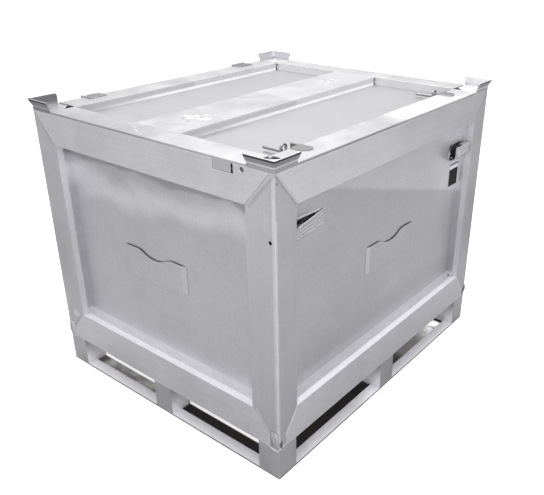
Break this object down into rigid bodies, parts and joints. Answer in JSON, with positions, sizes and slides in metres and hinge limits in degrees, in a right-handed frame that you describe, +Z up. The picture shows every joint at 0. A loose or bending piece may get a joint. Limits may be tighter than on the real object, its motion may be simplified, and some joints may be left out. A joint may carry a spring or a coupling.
{
  "type": "intermediate bulk container",
  "caption": "Box-shaped aluminium bulk container on feet, with fork openings, framed walls, a drop-down gate, a hinged recessed lid and flared stacking corners.",
  "frame": {"origin": "centre of the footprint on the floor", "axes": "+Z up, +X along the long side, -Y out of the gate face"},
  "size_m": [1.22, 1.0525, 1.002],
  "materials": {
    "frame_aluminium": "brushed satin",
    "sheet_aluminium": "mill rolled",
    "hardware_steel": "zinc bright",
    "gasket_rubber": "matte",
    "plate_black": "satin",
    "label_white": "matte"
  },
  "bodies": {
    "container": {"bottom_beam_front": "frame_aluminium", "bottom_beam_left": "frame_aluminium", "bottom_beam_rear": "frame_aluminium", "bottom_beam_right": "frame_aluminium", "centre_foot": "frame_aluminium", "corner_foot_front_left": "frame_aluminium", "corner_foot_front_right": "frame_aluminium", "corner_foot_rear_left": "frame_aluminium", "corner_foot_rear_right": "frame_aluminium", "corner_post_front_left": "frame_aluminium", "corner_post_front_right": "frame_aluminium", "corner_post_rear_left": "frame_aluminium", "corner_post_rear_right": "frame_aluminium", "document_pocket_left": "sheet_aluminium", "floor_joists": "sheet_aluminium", "floor_sheet": "sheet_aluminium", "frame_hinge_leaves": "hardware_steel", "gate_pivot_pins": "hardware_steel", "gate_stops": "sheet_aluminium", "lid_hinge_pins": "hardware_steel", "mid_foot_front": "frame_aluminium", "mid_foot_left": "frame_aluminium", "mid_foot_rear": "frame_aluminium", "mid_foot_right": "frame_aluminium", "panel_left": "sheet_aluminium", "panel_rear": "sheet_aluminium", "panel_right": "sheet_aluminium", "skid_plates_long": "frame_aluminium", "skid_plates_short": "frame_aluminium", "stacking_bracket_front_left": "frame_aluminium", "stacking_bracket_front_right": "frame_aluminium", "stacking_bracket_rear_left": "frame_aluminium", "stacking_bracket_rear_right": "frame_aluminium", "top_beam_front": "frame_aluminium", "top_beam_left": "frame_aluminium", "top_beam_rear": "frame_aluminium", "top_beam_right": "frame_aluminium"},
    "gate": {"gate_panel": "sheet_aluminium", "gate_latch_cover_left": "sheet_aluminium", "gate_latch_cover_right": "sheet_aluminium", "document_pocket_gate": "sheet_aluminium", "gate_bolt_guides": "hardware_steel", "type_plate": "plate_black", "label_strip": "label_white"},
    "lid": {"lid_frame": "frame_aluminium", "lid_centre_beam": "frame_aluminium", "lid_panel_front": "sheet_aluminium", "lid_panel_rear": "sheet_aluminium", "lid_gasket": "gasket_rubber", "lid_hinge_leaves": "hardware_steel", "lid_bolt_barrel_left": "hardware_steel", "lid_bolt_barrel_right": "hardware_steel", "lid_bolt_stop_left": "hardware_steel", "lid_bolt_stop_right": "hardware_steel"},
    "gate_bolt_left": {"gate_bolt_left": "hardware_steel"},
    "gate_bolt_right": {"gate_bolt_right": "hardware_steel"},
    "lid_bolt_left": {"lid_bolt_left": "hardware_steel"},
    "lid_bolt_right": {"lid_bolt_right": "hardware_steel"}
  },
  "joints": [
    {"name": "lid_hinge", "type": "hinge", "parent": "container", "child": "lid", "pos_m": [0, 0.5215, 0.972], "axis": [-1, 0, 0], "range_deg": [0, 240]},
    {"name": "gate_hinge", "type": "hinge", "parent": "container", "child": "gate", "pos_m": [0, -0.487, 0.234], "axis": [1, 0, 0], "range_deg": [0, 90]},
    {"name": "gate_bolt_left_slide", "type": "slide", "parent": "gate", "child": "gate_bolt_left", "axis": [-1, 0, 0], "range_m": [0, 0.025]},
    {"name": "gate_bolt_right_slide", "type": "slide", "parent": "gate", "child": "gate_bolt_right", "axis": [1, 0, 0], "range_m": [0, 0.025]},
    {"name": "lid_bolt_left_slide", "type": "slide", "parent": "lid", "child": "lid_bolt_left", "axis": [-1, 0, 0], "range_m": [0, 0.036]},
    {"name": "lid_bolt_right_slide", "type": "slide", "parent": "lid", "child": "lid_bolt_right", "axis": [1, 0, 0], "range_m": [0, 0.036]}
  ]
}
